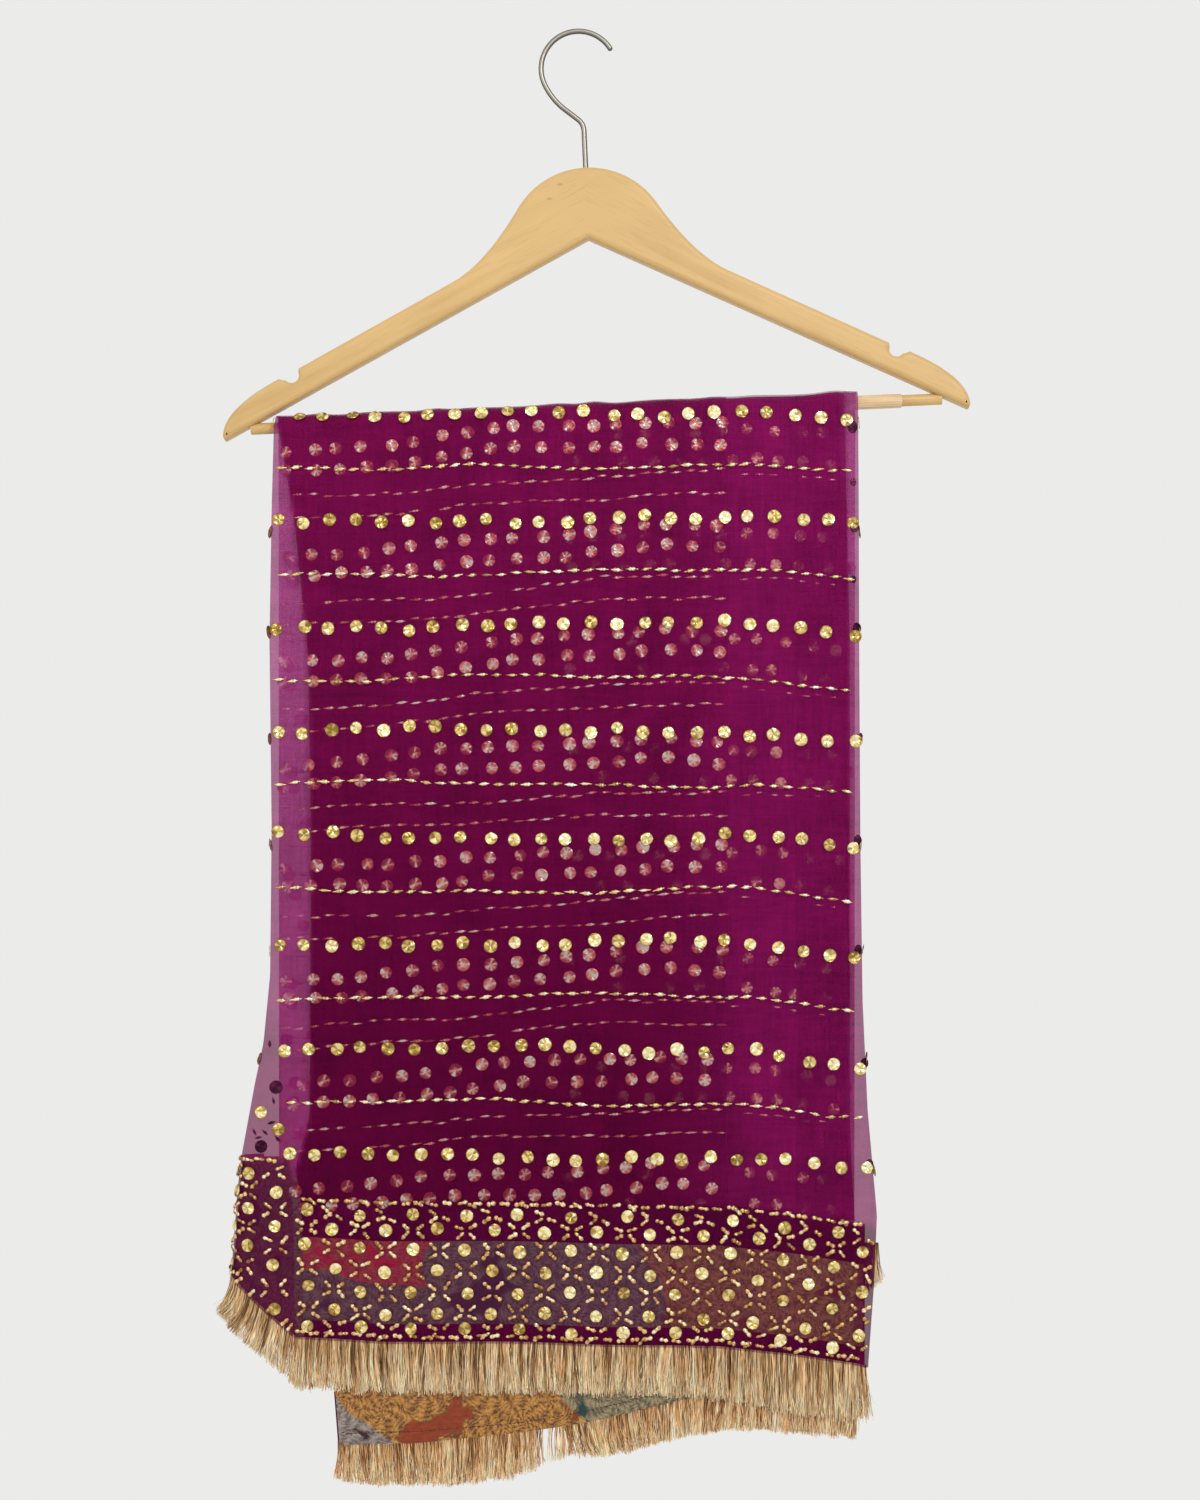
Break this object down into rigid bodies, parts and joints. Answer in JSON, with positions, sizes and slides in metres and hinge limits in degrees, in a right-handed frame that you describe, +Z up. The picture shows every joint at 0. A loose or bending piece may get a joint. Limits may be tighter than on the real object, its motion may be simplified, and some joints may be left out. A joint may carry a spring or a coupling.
{
  "type": "dupatta on wooden hanger",
  "caption": "Sheer plum dupatta with gold sequin rows, a lattice border and metallic fringe, folded over the bar of a wooden hanger with a wire hook.",
  "frame": {"origin": "inside of the hook's crown, where the hanger is held", "axes": "+Z up, X along the hanger with the veil's right side seen from the front at +X, -Y the front"},
  "size_m": [0.4448, 0.0285, 0.8678],
  "materials": {
    "wood": "clear satin varnish over pale close-grained wood",
    "grip": "clear ribbed grip sleeve over the wooden bar",
    "steel": "bright nickel-plated wire",
    "organza": "sheer crisp plum organza with gold sequins and thread",
    "organza_layers": "plum organza, several layers deep",
    "brocade": "woven brocade patchwork with metallic thread",
    "fringe": "fine champagne-gold metallic thread"
  },
  "bodies": {
    "root": {"hanger_arms": "wood", "hanger_bar": "wood", "bar_sleeve": "grip", "hanger_hook": "steel", "front_panel": "organza", "back_panel": "organza", "left_flap": "organza", "hidden_layers": "organza_layers", "tail_panel": "organza_layers", "front_lining": "brocade", "tail_lining": "brocade", "front_fringe": "fringe", "tail_fringe": "fringe", "flap_fringe": "fringe", "side_fringe": "fringe"}
  },
  "joints": []
}
